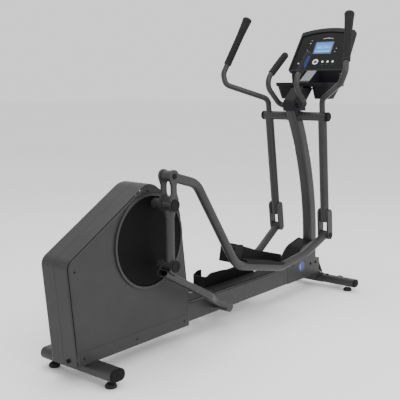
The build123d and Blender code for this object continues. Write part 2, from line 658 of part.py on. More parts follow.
    # pedal: a tray beside and over the lever's low stretch
    foot = pedal_plane.from_local_coords((LEVER_PATH[2][0], LEVER_PATH[2][1], 0))
    ahead = pedal_plane.from_local_coords((LEVER_PATH[3][0], LEVER_PATH[3][1], 0))
    along = ahead - foot
    tray_plane = Plane(
        origin=(foot.X, 0, foot.Z), x_dir=(along.X, 0, along.Z), z_dir=(-along.Z, 0, along.X)
    )
    INNER_Y, OUTER_Y = 62.0, 196.0
    FLOOR_LOW, FLOOR_TOP = 10.0, 25.0
    WALL_TALLEST = 105.0
    with BuildPart() as pedal:
        with BuildSketch(tray_plane.offset(FLOOR_LOW)) as floor:
            with BuildLine():
                FilletPolyline(
                    (0, side * INNER_Y), (432, side * INNER_Y), (440, side * (INNER_Y + 40)),
                    (432, side * OUTER_Y), (66, side * OUTER_Y), (66, side * 155), (0, side * 155),
                    radius=[14, 10, 20, 22, 10, 6, 10],
                    close=True,
                )
            make_face()
        extrude(floor.sketch, amount=WALL_TALLEST - FLOOR_LOW)
        with BuildSketch(tray_plane.offset(FLOOR_TOP)) as well:
            with BuildLine():
                FilletPolyline(
                    (6, side * (INNER_Y + 5)), (426, side * (INNER_Y + 5)), (433, side * (INNER_Y + 43)),
                    (425, side * (OUTER_Y - 5)), (72, side * (OUTER_Y - 5)), (72, side * 149), (6, side * 149),
                    radius=[10, 6, 14, 17, 6, 6, 6],
                    close=True,
                )
            make_face()
        extrude(well.sketch, amount=WALL_TALLEST, mode=Mode.SUBTRACT)
        rim_plane = link_plane((foot.X, foot.Z), (ahead.X, ahead.Z), 0)
        prism(
            rim_plane,
            [(-40, 130), (-40, 70), (40, 104), (130, 98), (330, 72), (470, 64), (470, 130)],
            [0, 0, 60, 160, 300, 0, 0],
            250,
            mode=Mode.SUBTRACT,
        )
        outboard = rim_plane.offset(-side * 180)
        lip = [(60, 30), (445, 30), (445, 130), (60, 130)]
        prism(outboard, lip, [0, 0, 0, 0], 26, mode=Mode.SUBTRACT)
        tube(LEVER_PATH, LEVER_RADII, LEVER_TUBE + 0.2, wall=0, plane=pedal_plane, mode=Mode.SUBTRACT)
    export(pedal, f"{name}_pedal")

# ---------------------------------------------------------------- neck and fixed handlebar

NECK_CORNERS = [(618, 1074), (746, 1074), (741, 1118), (824, 1203), (700, 1203), (606, 1122)]
NECK_HALF = 40.0
NECK_WALL = 3.0
with BuildPart() as neck_shroud:
    prism(side_plane(0), NECK_CORNERS, [0, 0, 40, 0, 0, 40], NECK_HALF)
    long_edges = [edge for edge in neck_shroud.edges() if abs(abs(edge.center().Y) - NECK_HALF) < 0.1]
    fillet([edge for edge in long_edges if 1075 < edge.center().Z < 1202], 12)
    with BuildSketch(side_plane(0)) as hollow:
        with BuildLine():
            FilletPolyline(*NECK_CORNERS, radius=[0, 0, 40, 0, 0, 40], close=True)
        make_face()
        offset(amount=-NECK_WALL)
    extrude(hollow.sketch, amount=NECK_HALF - NECK_WALL, both=True, mode=Mode.SUBTRACT)
    inner_half = NECK_HALF - NECK_WALL
    block(621, 743, -inner_half, inner_half, 1070, 1080, mode=Mode.SUBTRACT)
    block(708, 830, -22, 22, 1172, 1210, mode=Mode.SUBTRACT)
    rod(*BAR_CROSS, FIXED_BAR_TUBE, -60, 60, mode=Mode.SUBTRACT)
export(neck_shroud, "neck_shroud")

BAR_TIP = (700, 76, 1393)
BAR_BEND = (553, 93, 1262)
BAR_HALF_PATH = [BAR_TIP, BAR_BEND, (546, 93, 1205), (BAR_CROSS[0], 86, BAR_CROSS[1])]
with BuildPart() as fixed_handlebar:
    left_half = BAR_HALF_PATH
    right_half = [(x, -y, z) for x, y, z in reversed(BAR_HALF_PATH)]
    tube(left_half + right_half, [70, 60, 34, 34, 60, 70], FIXED_BAR_TUBE)
export(fixed_handlebar, "fixed_handlebar")

PULSE_GRIP_LENGTH, PULSE_GRIP_RADIUS = 172.0, 20.0
with BuildPart() as pulse_grips:
    for side in (-1, 1):
        tip = Vector(BAR_TIP[0], side * BAR_TIP[1], BAR_TIP[2])
        back = (Vector(BAR_BEND[0], side * BAR_BEND[1], BAR_BEND[2]) - tip).normalized()
        with BuildSketch(Plane(origin=tip - back * 4, z_dir=back)) as sleeve:
            Circle(PULSE_GRIP_RADIUS)
        extrude(sleeve.sketch, amount=PULSE_GRIP_LENGTH)
        with BuildSketch(Plane(origin=tip, z_dir=back)) as core:
            Circle(FIXED_BAR_TUBE)
        extrude(core.sketch, amount=PULSE_GRIP_LENGTH, mode=Mode.SUBTRACT)
    ends = pulse_grips.edges().filter_by(GeomType.CIRCLE)
    fillet([edge for edge in ends if edge.radius > PULSE_GRIP_RADIUS - 1], 3)
export(pulse_grips, "pulse_grips")

# ---------------------------------------------------------------- console

TILT_SIN, TILT_COS = sin(radians(CONSOLE_TILT)), cos(radians(CONSOLE_TILT))


def console_plane(depth):
    """A plane at depth behind the console's face; sketch X is to the user's right, Y up the face."""
    return Plane(
        origin=(CONSOLE_POINT[0] + depth * TILT_COS, 0, CONSOLE_POINT[1] - depth * TILT_SIN),
        x_dir=(0, -1, 0),
        z_dir=(-TILT_COS, 0, TILT_SIN),
    )


def console_point(up, depth):
    """The (X, Z) of a point on the middle line, up the face and behind it."""
    return (
        CONSOLE_POINT[0] + up * TILT_SIN + depth * TILT_COS,
        CONSOLE_POINT[1] + up * TILT_COS - depth * TILT_SIN,
    )


def console_outline(inset, corner, brow=0.0):
    """The console's outline, made smaller all round by inset, and at the top by brow as well."""
    low, high, arch = -125 + inset, 154 - inset - brow, 180 - inset - brow
    wide, narrow = 190 - inset, 181 - inset
    with BuildSketch() as outline:
        with BuildLine():
            Line((-wide, low), (wide, low))
            Line((wide, low), (narrow, high))
            ThreePointArc((narrow, high), (0, arch), (-narrow, high))
            Line((-narrow, high), (-wide, low))
        make_face()
        fillet(outline.vertices(), corner)
    return outline.sketch


PANEL_DEPTH, PANEL_THICK, BEZEL, BROW = 6.0, 5.0, 12.0, 16.0
SCREEN_SIZE = (124.0, 86.0)
SCREEN_UP = 42.0
BUTTON_ROW = -58.0
BUTTONS = {"start_button": (27.0, 6.5), "program_button": (61.0, 6.5), "level_button": (95.0, 6.5)}
NAV_RING = (-21.0, 18.0)
BUTTON_GAP = 0.4

with BuildPart() as console_body:
    extrude(console_plane(0).location * console_outline(0, 16), amount=-CONSOLE_DEPTH)
    back_face = max(console_body.faces(), key=lambda face: -console_plane(0).to_local_coords(face.center()).Z)
    fillet(back_face.edges(), 14)
    front_face = max(console_body.faces(), key=lambda face: console_plane(0).to_local_coords(face.center()).Z)
    fillet(front_face.edges(), 4)
    recess = console_plane(0).location * console_outline(BEZEL, 8, BROW)
    extrude(recess, amount=-CONSOLE_DEPTH + 4, mode=Mode.SUBTRACT)
export(console_body, "console_body")

with BuildPart() as console_panel:
    extrude(console_plane(PANEL_DEPTH).location * console_outline(BEZEL, 8, BROW), amount=-PANEL_THICK)
    with BuildSketch(console_plane(PANEL_DEPTH)) as window:
        with Locations((0, SCREEN_UP)):
            RectangleRounded(*SCREEN_SIZE, 4)
    extrude(window.sketch, amount=-PANEL_THICK, mode=Mode.SUBTRACT)
    with BuildSketch(console_plane(PANEL_DEPTH)) as holes:
        for across, radius in (*BUTTONS.values(), NAV_RING):
            with Locations((across, BUTTON_ROW)):
                Circle(radius + BUTTON_GAP)
    extrude(holes.sketch, amount=-PANEL_THICK, mode=Mode.SUBTRACT)
export(console_panel, "console_panel")

with BuildPart() as console_screen:
    with BuildSketch(console_plane(PANEL_DEPTH + 1)) as glass:
        with Locations((0, SCREEN_UP)):
            RectangleRounded(*SCREEN_SIZE, 4)
    extrude(glass.sketch, amount=-PANEL_THICK)
export(console_screen, "console_screen")

for name, (across, radius) in {**BUTTONS, "nav_ring": NAV_RING}.items():
    PROUD, FLANGE = 2.5, 2.0
    with BuildPart() as button:
        with BuildSketch(console_plane(PANEL_DEPTH - PROUD)) as stem:
            with Locations((across, BUTTON_ROW)):
                Circle(radius)
        extrude(stem.sketch, amount=-(PROUD + PANEL_THICK + 1))
        with BuildSketch(console_plane(PANEL_DEPTH + PANEL_THICK + BUTTON_GAP)) as flange:
            with Locations((across, BUTTON_ROW)):
                Circle(radius + 2)
        extrude(flange.sketch, amount=-FLANGE)
        if name == "nav_ring":
            with BuildSketch(console_plane(PANEL_DEPTH - PROUD)) as dish:
                with Locations((across, BUTTON_ROW)):
                    Circle(radius * 0.58)
            extrude(dish.sketch, amount=-1, mode=Mode.SUBTRACT)
        rim = max(button.faces(), key=lambda face: console_plane(0).to_local_coords(face.center()).Z)
        fillet(rim.edges(), 0.6)
    export(button, name)

with BuildPart() as console_bracket:
    BRACKET_SIZE = (40.0, 16.0)
    crook = console_point(-124, CONSOLE_DEPTH + BRACKET_SIZE[1] / 2)
    head = console_point(20, CONSOLE_DEPTH + BRACKET_SIZE[1] / 2)
    with BuildLine(Plane.XZ) as path:
        FilletPolyline((684, 1128), crook, head, radius=[24])
    route = path.wire()
    with BuildSketch(Plane(origin=route @ 0, x_dir=(0, 1, 0), z_dir=route % 0)) as section:
        Rectangle(*BRACKET_SIZE)
    sweep(section.sketch, path=route)
    block(640, 700, -20, 20, BAR_CROSS[1], 1136)
    rod(*BAR_CROSS, FIXED_BAR_TUBE, -60, 60, mode=Mode.SUBTRACT)
export(console_bracket, "console_bracket")

# tray: two bins either side of a raised bridge that carries the information plate
TRAY_RIM = 1233.0
BIN_TOP = (830.0, 117.0, 156.0, 152.0)  # centre X, centre Y, size along X, size along Y
BIN_FLOOR = (816.0, 112.0, 84.0, 96.0)
BIN_LOW = 1140.0
TRAY_HALF = 200.0
BIN_WALL = 3.0
BRIDGE_HALF = 34.0
BACK_WALL_HALF = 160.0  # the wall behind the bins, up to the console
with BuildPart() as console_tray:
    with BuildSketch(Plane.XY.offset(TRAY_RIM)) as flange:
        with BuildLine():
            FilletPolyline(
                (748, 0), (752, 30 - TRAY_HALF), (784, -TRAY_HALF), (900, -TRAY_HALF), (912, 40 - TRAY_HALF),
                (912, TRAY_HALF - 40), (900, TRAY_HALF), (784, TRAY_HALF), (752, TRAY_HALF - 30),
                radius=[0, 22, 22, 24, 12, 12, 24, 22, 22],
                close=True,
            )
        make_face()
    extrude(flange.sketch, amount=-22, taper=8)
    for side in (-1, 1):
        with BuildSketch(Plane.XY.offset(TRAY_RIM - 20)) as mouth:
            with Locations((BIN_TOP[0], side * BIN_TOP[1])):
                RectangleRounded(BIN_TOP[2] - 14, BIN_TOP[3] - 14, 40)
        with BuildSketch(Plane.XY.offset(BIN_LOW)) as base:
            with Locations((BIN_FLOOR[0], side * BIN_FLOOR[1])):
                RectangleRounded(BIN_FLOOR[2], BIN_FLOOR[3], 26)
        loft([mouth.sketch, base.sketch])
    bridge_top = console_point(-125, 0)
    bridge_back = console_point(-125, 40)
    prism(
        side_plane(0),
        [
            (762, 1212), (764, 1230), (868, bridge_top[1]), bridge_top,
            bridge_back, (bridge_back[0], 1240), (860, 1212),
        ],
        [0, 6, 20, 0, 0, 0, 0],
        BRIDGE_HALF,
    )
    prism(
        side_plane(0),
        [(906, 1222), bridge_top, bridge_back, (912, 1222)],
        [0, 0, 0, 0],
        BACK_WALL_HALF,
    )
    for side in (-1, 1):
        with BuildSketch(Plane.XY.offset(TRAY_RIM)) as mouth:
            with Locations((BIN_TOP[0], side * BIN_TOP[1])):
                RectangleRounded(BIN_TOP[2] - 2 * 8, BIN_TOP[3] - 2 * 4, 40)
        with BuildSketch(Plane.XY.offset(BIN_LOW + BIN_WALL)) as base:
            with Locations((BIN_FLOOR[0], side * BIN_FLOOR[1])):
                RectangleRounded(BIN_FLOOR[2] - 2 * BIN_WALL, BIN_FLOOR[3] - 2 * BIN_WALL, 23)
        loft([mouth.sketch, base.sketch], mode=Mode.SUBTRACT)
    prism(
        side_plane(0),
        [(775, 1200), (775, 1226), (870, 1293), (886, 1296), (886, 1310), (950, 1310), (950, 1200)],
        [0, 0, 0, 0, 0, 0, 0],
        BRIDGE_HALF - 4,
        mode=Mode.SUBTRACT,
    )
export(console_tray, "console_tray")
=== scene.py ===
"""Looks of the elliptical trainer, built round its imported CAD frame. Metres, +X forward, +Z up."""

import json
import math

import bmesh
import bpy
from mathutils import Matrix, Vector


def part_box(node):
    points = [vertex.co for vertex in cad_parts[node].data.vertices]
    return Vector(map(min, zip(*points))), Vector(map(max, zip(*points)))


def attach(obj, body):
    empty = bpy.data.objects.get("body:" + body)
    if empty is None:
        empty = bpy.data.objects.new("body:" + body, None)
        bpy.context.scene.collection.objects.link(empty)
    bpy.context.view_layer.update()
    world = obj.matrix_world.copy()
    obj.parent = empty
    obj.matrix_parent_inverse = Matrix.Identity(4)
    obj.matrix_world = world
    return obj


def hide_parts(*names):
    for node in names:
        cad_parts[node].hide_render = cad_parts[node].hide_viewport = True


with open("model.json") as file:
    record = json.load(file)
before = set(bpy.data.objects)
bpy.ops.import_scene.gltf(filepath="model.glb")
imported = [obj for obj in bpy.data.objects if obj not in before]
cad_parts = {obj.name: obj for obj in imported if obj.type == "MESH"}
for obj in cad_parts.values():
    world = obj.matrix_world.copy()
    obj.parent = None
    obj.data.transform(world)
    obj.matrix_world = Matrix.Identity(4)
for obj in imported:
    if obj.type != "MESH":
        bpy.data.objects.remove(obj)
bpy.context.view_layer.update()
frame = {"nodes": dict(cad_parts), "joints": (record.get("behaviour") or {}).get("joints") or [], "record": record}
NODES = frame["nodes"]
SIDES = (("right", -1), ("left", 1))

# ---------------------------------------------------------------- camera, floor and light

CAMERA_PLACE = (-2.898, -2.253, 1.220)
CAMERA_TURN = (81.022, 0.0, -50.484)
CAMERA_LENS = 65.64
SENSOR_WIDTH = 36.0
FLOOR_HALF = 40.0
FLOOR_TONES = [(0.3, (0.93, 0.93, 0.93)), (0.7, (0.96, 0.96, 0.96))]
WORLD_STRENGTH = 1.15
LIGHTS = (  # name, place, aim, size in metres, watts
    ("key", (-2.4, -3.2, 3.6), (0.0, 0.0, 0.6), 2.5, 115.0),
    ("fill", (1.5, -4.0, 2.5), (0.2, 0.0, 0.8), 3.0, 60.0),
    ("top", (0.0, 0.5, 4.2), (0.0, 0.0, 0.5), 3.0, 80.0),
)


def make_camera():
    """The photo's viewpoint, as solved in the CAD frame."""
    data = bpy.data.cameras.new("camera")
    data.lens = CAMERA_LENS
    data.sensor_width = SENSOR_WIDTH
    camera = bpy.data.objects.new("camera", data)
    camera.location = CAMERA_PLACE
    camera.rotation_euler = [math.radians(angle) for angle in CAMERA_TURN]
    bpy.context.scene.collection.objects.link(camera)
    bpy.context.scene.camera = camera


def area_light(name, place, aim, size, power):
    """A soft square light at place, pointing at aim."""
    data = bpy.data.lights.new(name, "AREA")
    data.size = size
    data.energy = power
    light = bpy.data.objects.new(name, data)
    light.location = place
    light.rotation_euler = (Vector(aim) - Vector(place)).to_track_quat("-Z", "Y").to_euler()
    bpy.context.scene.collection.objects.link(light)


def make_world():
    """An even white surround."""
    world = bpy.data.worlds.new("studio")
    world.use_nodes = True
    shader = world.node_tree.nodes["Background"]
    shader.inputs["Color"].default_value = (1.0, 1.0, 1.0, 1.0)
    shader.inputs["Strength"].default_value = WORLD_STRENGTH
    bpy.context.scene.world = world


# ---------------------------------------------------------------- materials

WEAR_WIDTH = 0.0018


class Nodes:
    """A short way to write a material's node tree."""

    def __init__(self, name):
        self.material = bpy.data.materials.new(name)
        self.material.use_nodes = True
        self.tree = self.material.node_tree
        self.shader = self.tree.nodes["Principled BSDF"]

    def add(self, kind, **values):
        """A node, with sockets set from values: numbers by name, other nodes' sockets linked."""
        node = self.tree.nodes.new(kind)
        for key, value in values.items():
            socket = node.inputs.get(key.replace("_", " "))
            if socket is None:
                setattr(node, key, value)
            elif isinstance(value, bpy.types.NodeSocket):
                self.tree.links.new(value, socket)
            else:
                socket.default_value = value
        return node

    def link(self, output, key):
        """Drives one of the shader's inputs."""
        self.tree.links.new(output, self.shader.inputs[key])

    def place(self, scale=(1.0, 1.0, 1.0)):
        """Object coordinates in metres, stretched by scale."""
        source = self.tree.nodes.new("ShaderNodeTexCoord")
        mapping = self.tree.nodes.new("ShaderNodeMapping")
        mapping.inputs["Scale"].default_value = scale
        self.tree.links.new(source.outputs["Object"], mapping.inputs["Vector"])
        return mapping.outputs["Vector"]

    def ramp(self, factor, stops):
        """A colour ramp with (position, colour) stops."""
        node = self.tree.nodes.new("ShaderNodeValToRGB")
        elements = node.color_ramp.elements
        while len(elements) < len(stops):
            elements.new(0.5)
        for element, (position, colour) in zip(elements, stops):
            element.position = position
            element.color = (*colour, 1.0)
        self.tree.links.new(factor, node.inputs["Fac"])
        return node.outputs["Color"]

    def range(self, factor, low, high):
        """factor from 0..1 to low..high."""
        node = self.add("ShaderNodeMapRange", Value=factor)
        node.inputs["To Min"].default_value = low
        node.inputs["To Max"].default_value = high
        return node.outputs["Result"]

    def noise(self, scale, detail=3.0, vector=None):
        """Noise of 0..1, in object space unless vector is given."""
        where = self.place() if vector is None else vector
        return self.add("ShaderNodeTexNoise", Vector=where, Scale=scale, Detail=detail).outputs["Fac"]

    def bump(self, height, distance, strength=1.0, before=None):
        """A bump of height times distance metres, on top of an earlier one."""
        node = self.add("ShaderNodeBump", Height=height, Distance=distance, Strength=strength)
        if before is not None:
            self.tree.links.new(before, node.inputs["Normal"])
        return node.outputs["Normal"]

    def edge_wear(self, colour, worn):
        """colour, with worn where the surface turns a corner."""
        rounded = self.add("ShaderNodeBevel", samples=4, Radius=WEAR_WIDTH).outputs["Normal"]
        facing = self.tree.nodes.new("ShaderNodeNewGeometry").outputs["Normal"]
        match = self.tree.nodes.new("ShaderNodeVectorMath")
        match.operation = "DOT_PRODUCT"
        self.tree.links.new(rounded, match.inputs[0])
        self.tree.links.new(facing, match.inputs[1])
        mask = self.ramp(match.outputs["Value"], [(0.80, (1, 1, 1)), (0.97, (0, 0, 0))])
        mix = self.tree.nodes.new("ShaderNodeMix")
        mix.data_type = "RGBA"
        self.tree.links.new(mask, mix.inputs[0])
        self.tree.links.new(colour, mix.inputs[6])
        mix.inputs[7].default_value = (*worn, 1.0)
        return mix.outputs[2]


def scaled(colour, factor):
    """A colour made lighter or darker."""
    return tuple(channel * factor for channel in colour)


def coated_metal(name, colour, roughness=0.42, grain=900.0, depth=0.00012):
    """Satin powder coat on steel: orange-peel bump, faint mottling and lighter edges."""
    m = Nodes(name)
    mottle = m.noise(9.0, 4.0)
    base = m.ramp(mottle, [(0.30, scaled(colour, 0.88)), (0.70, scaled(colour, 1.12))])
    m.link(m.edge_wear(base, scaled(colour, 1.8)), "Base Color")
    m.link(m.range(m.noise(26.0, 5.0), roughness - 0.07, roughness + 0.08), "Roughness")
    m.link(m.bump(m.noise(grain, 2.0), depth, 0.35), "Normal")
    m.shader.inputs["Metallic"].default_value = 0.0
    m.shader.inputs["Specular IOR Level"].default_value = 0.3
    m.shader.inputs["Coat Weight"].default_value = 0.06
    m.shader.inputs["Coat Roughness"].default_value = 0.28
    return m.material


def moulded_plastic(name, colour, roughness=0.5, grain=1400.0, depth=0.00010, gloss=0.22):
    """Injection-moulded plastic with a fine spark-eroded grain."""
    m = Nodes(name)
    mottle = m.noise(6.0, 3.0)
    base = m.ramp(mottle, [(0.3, scaled(colour, 0.9)), (0.7, scaled(colour, 1.1))])
    m.link(m.edge_wear(base, scaled(colour, 1.5)), "Base Color")
    cells = m.add("ShaderNodeTexVoronoi", Vector=m.place(), Scale=grain).outputs["Distance"]
    m.link(m.range(m.noise(40.0, 4.0), roughness - 0.06, roughness + 0.08), "Roughness")
    m.link(m.bump(cells, depth, 0.4), "Normal")
    m.shader.inputs["Specular IOR Level"].default_value = gloss
    return m.material


def soft_rubber(name, colour, grain=700.0, depth=0.0004):
    """Foam rubber with a pebbled skin."""
    m = Nodes(name)
    pebbles = m.add("ShaderNodeTexVoronoi", Vector=m.place(), Scale=grain).outputs["Distance"]
    base = m.ramp(pebbles, [(0.0, scaled(colour, 1.25)), (0.6, scaled(colour, 0.75))])
    m.link(base, "Base Color")
    m.link(m.range(m.noise(60.0, 4.0), 0.62, 0.8), "Roughness")
    first = m.bump(pebbles, depth, 0.7)
    m.link(m.bump(m.noise(2500.0, 2.0), depth / 3, 0.4, first), "Normal")
    m.shader.inputs["Specular IOR Level"].default_value = 0.2
    m.shader.inputs["Sheen Weight"].default_value = 0.03
    return m.material


def turned_metal(name, colour, roughness=0.32):
    """Machined or plated steel with fine tool lines."""
    m = Nodes(name)
    lines = m.noise(500.0, 3.0, m.place((1.0, 0.05, 1.0)))
    m.link(m.ramp(lines, [(0.3, scaled(colour, 0.85)), (0.7, scaled(colour, 1.1))]), "Base Color")
    m.link(m.range(lines, roughness - 0.08, roughness + 0.1), "Roughness")
    m.link(m.bump(lines, 0.00005, 0.3), "Normal")
    m.shader.inputs["Metallic"].default_value = 1.0
    return m.material


def glowing(name, colour, strength, roughness=0.2):
    """A lit surface with a faint unevenness."""
    m = Nodes(name)
    tone = m.ramp(m.noise(30.0, 2.0), [(0.2, scaled(colour, 0.85)), (0.8, scaled(colour, 1.1))])
    m.link(tone, "Base Color")
    m.link(tone, "Emission Color")
    m.shader.inputs["Emission Strength"].default_value = strength
    m.link(m.range(m.noise(200.0), roughness, roughness + 0.1), "Roughness")
    return m.material


CHARCOAL = (0.027, 0.027, 0.028)
BLACK = (0.0025, 0.0025, 0.0028)
MATERIALS = {
    "frame_paint": coated_metal("frame_paint", scaled(CHARCOAL, 0.82)),
    "link_paint": coated_metal("link_paint", scaled(CHARCOAL, 0.80), 0.44),
    "housing_plastic": moulded_plastic("housing_plastic", CHARCOAL, 0.46),
    "grip_rubber": soft_rubber("grip_rubber", (0.011, 0.011, 0.012)),
    "pedal_plastic": moulded_plastic("pedal_plastic", (0.0055, 0.0055, 0.006), 0.62, 900.0, 0.0002, 0.14),
    "cap_plastic": moulded_plastic("cap_plastic", (0.0045, 0.0045, 0.005), 0.55, gloss=0.12),
    "disc_plastic": moulded_plastic("disc_plastic", BLACK, 0.6, gloss=0.08),
    "wheel_rubber": soft_rubber("wheel_rubber", BLACK, 500.0, 0.0002),
    "console_plastic": moulded_plastic("console_plastic", (0.0095, 0.0095, 0.011), 0.5, gloss=0.15),
    "panel_plastic": moulded_plastic("panel_plastic", (0.0028, 0.0030, 0.0034), 0.42, 2200.0, 0.00003, 0.10),
    "screen_glass": glowing("screen_glass", (0.008, 0.035, 0.11), 0.25),
    "button_plastic": moulded_plastic("button_plastic", (0.66, 0.67, 0.69), 0.35, 1800.0, 0.00003),
    "bare_steel": turned_metal("bare_steel", (0.55, 0.55, 0.56)),
    "foot_rubber": soft_rubber("foot_rubber", (0.018, 0.018, 0.018), 500.0, 0.0002),
    "drive_steel": coated_metal("drive_steel", (0.035, 0.035, 0.037), 0.5),
    "cast_flywheel": turned_metal("cast_flywheel", (0.23, 0.23, 0.24), 0.4),
    "belt_rubber": soft_rubber("belt_rubber", (0.02, 0.02, 0.02), 500.0, 0.0002),
    "pulley_alloy": turned_metal("pulley_alloy", (0.6, 0.6, 0.62)),
}


def dress_frame():
    """Every CAD node takes its slot's material."""
    for part in frame["record"]["subparts"]:
        obj = NODES[part["node"]]
        material = MATERIALS[part["material_slot"]]
        for slot in obj.material_slots:
            slot.material = material
        if not obj.material_slots:
            obj.data.materials.append(material)


make_camera()
make_world()
dress_frame()

bpy.ops.mesh.primitive_plane_add(size=2 * FLOOR_HALF, location=(0, 0, 0))
floor = bpy.context.object
floor.name = "floor"
floor_nodes = Nodes("pale_floor")
floor_nodes.link(floor_nodes.ramp(floor_nodes.noise(0.4), FLOOR_TONES), "Base Color")
floor_nodes.shader.inputs["Roughness"].default_value = 0.9
floor.data.materials.append(floor_nodes.material)

for light_settings in LIGHTS:
    area_light(*light_settings)

# ---------------------------------------------------------------- pieces

SHARP_ANGLE = math.radians(38)


def new_object(name, mesh, material, body):
    """A mesh as a piece that rides on a body and takes its finish from a slot."""
    obj = bpy.data.objects.new(name, mesh)
    bpy.context.scene.collection.objects.link(obj)
    mesh.materials.append(material)
    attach(obj, body)
    return obj


def frame_of(origin, normal, up=(0.0, 0.0, 1.0)):
    """A matrix at origin whose Z is normal and whose Y is as near to up as it can be."""
    z = Vector(normal).normalized()
    x = Vector(up).cross(z)
    if x.length < 1e-6:
        x = Vector((1.0, 0.0, 0.0))
    x.normalize()
    y = z.cross(x)
    matrix = Matrix((x, y, z)).transposed().to_4x4()
    matrix.translation = Vector(origin)
    return matrix


def lathe(name, profile, matrix, material, body, steps=48):
    """A solid of revolution about matrix's Z from (radius, height) points."""
    bm = bmesh.new()
    rings = []
    for radius, height in profile:
        if radius < 1e-7:
            rings.append([bm.verts.new((0.0, 0.0, height))])
            continue
        angles = [2 * math.pi * k / steps for k in range(steps)]
        rings.append([bm.verts.new((radius * math.cos(a), radius * math.sin(a), height)) for a in angles])
    for low, high in zip(rings, rings[1:]):
        for k in range(steps):
            after = (k + 1) % steps
            if len(low) == 1 and len(high) > 1:
                bm.faces.new((low[0], high[after], high[k]))
            elif len(high) == 1 and len(low) > 1:
                bm.faces.new((low[k], low[after], high[0]))
            elif len(low) > 1:
                bm.faces.new((low[k], low[after], high[after], high[k]))
    bmesh.ops.recalc_face_normals(bm, faces=bm.faces)
    for face in bm.faces:
        face.smooth = True
    mesh = bpy.data.meshes.new(name)
    bm.to_mesh(mesh)
    bm.free()
    mesh.transform(matrix)
    mesh.set_sharp_from_angle(angle=SHARP_ANGLE)
    return new_object(name, mesh, material, body)


def plate(name, outline, thick, matrix, material, body, bevel=0.0004):
    """A flat plate of a closed outline, standing thick along matrix's Z, with bevelled edges."""
    bm = bmesh.new()
    face = bm.faces.new([bm.verts.new((x, y, 0.0)) for x, y in outline])
    grown = bmesh.ops.extrude_face_region(bm, geom=[face])
    top = [item for item in grown["geom"] if isinstance(item, bmesh.types.BMVert)]
    bmesh.ops.translate(bm, verts=top, vec=(0.0, 0.0, thick))
    rim = [edge for edge in bm.edges if all(abs(vert.co.z - thick) < 1e-9 for vert in edge.verts)]
    bmesh.ops.bevel(bm, geom=rim, offset=min(bevel, thick * 0.45), segments=2, affect="EDGES", profile=0.7)
    bmesh.ops.recalc_face_normals(bm, faces=bm.faces)
    mesh = bpy.data.meshes.new(name)
    bm.to_mesh(mesh)
    bm.free()
    mesh.transform(matrix)
    return new_object(name, mesh, material, body)


def round_box(width, height, corner, steps=6):
    """The outline of a rounded rectangle about the origin."""
    points = []
    for sx, sy, start in ((1, 1, 0), (-1, 1, 90), (-1, -1, 180), (1, -1, 270)):
        for k in range(steps + 1):
            angle = math.radians(start + 90 * k / steps)
            x = sx * (width / 2 - corner) + corner * math.cos(angle)
            y = sy * (height / 2 - corner) + corner * math.sin(angle)
            points.append((x, y))
    return points


def shifted(outline, dx, dy):
    """An outline moved in its own plane."""
    return [(x + dx, y + dy) for x, y in outline]


def ribbon(points, widths, steps=24):
    """The outline of a curved band through points, with a width at each of them."""
    line = smooth_line(points, steps)
    wide = smooth_line([(w, 0.0) for w in widths], steps)
    left, right = [], []
    for k, (x, y) in enumerate(line):
        ahead = line[min(k + 1, len(line) - 1)]
        back = line[max(k - 1, 0)]
        dx, dy = ahead[0] - back[0], ahead[1] - back[1]
        size = math.hypot(dx, dy)
        half = wide[k][0] / 2
        left.append((x - dy / size * half, y + dx / size * half))
        right.append((x + dy / size * half, y - dx / size * half))
    return left + right[::-1]


def between(p, q, r, s, t):
    """The Catmull-Rom value at t, from q at 0 to r at 1."""
    square = (2 * p - 5 * q + 4 * r - s) * t**2
    cube = (3 * q - p - 3 * r + s) * t**3
    return 0.5 * (2 * q + (r - p) * t + square + cube)


def smooth_line(points, steps):
    """A smooth line through a list of 2-D points."""
    padded = [points[0]] + list(points) + [points[-1]]
    out = []
    for corners in zip(padded, padded[1:], padded[2:], padded[3:]):
        for k in range(steps):
            out.append(tuple(between(*values, k / steps) for values in zip(*corners)))
    out.append(points[-1])
    return out


def joint(name):
    """A joint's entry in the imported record."""
    return next(item for item in frame["joints"] if item["name"] == name)


def joint_place(name):
    """A joint's pivot at rest."""
    return Vector(joint(name)["pos_m"])


def middle(node):
    """The middle of a node's box."""
    low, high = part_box(node)
    return (Vector(low) + Vector(high)) / 2


def cap(name, centre, y, side, size, body):
    """A moulded cap on a pin's end: a bevelled disc with a shallow dish. size is radius and thickness."""
    radius, thick = size
    rim = min(0.0022, thick * 0.45)
    recess = 0.35
    profile = [
        (0.0, 0.0),
        (radius, 0.0),
        (radius, thick - rim),
        (radius - rim * 0.4, thick - rim * 0.3),
        (radius - rim, thick),
        (radius * 0.72, thick),
        (radius * 0.66, thick - rim * recess),
        (0.0, thick - rim * recess),
    ]
    matrix = frame_of((centre[0], side * y, centre[2]), (0.0, side, 0.0))
    return lathe(name, profile, matrix, MATERIALS["cap_plastic"], body)


def bolt(name, place, normal, size):
    """A black button-head screw with a round socket, on the frame. size is radius and height."""
    radius, height = size
    head = [
        (0.0, 0.0),
        (radius, 0.0),
        (radius, height * 0.35),
        (radius * 0.86, height * 0.8),
        (radius * 0.6, height),
        (radius * 0.42, height),
        (radius * 0.40, height * 0.45),
        (0.0, height * 0.4),
    ]
    matrix = frame_of(place, normal)
    return lathe(name, head, matrix, MATERIALS["cap_plastic"], "root", steps=36)


# ---------------------------------------------------------------- caps and fasteners

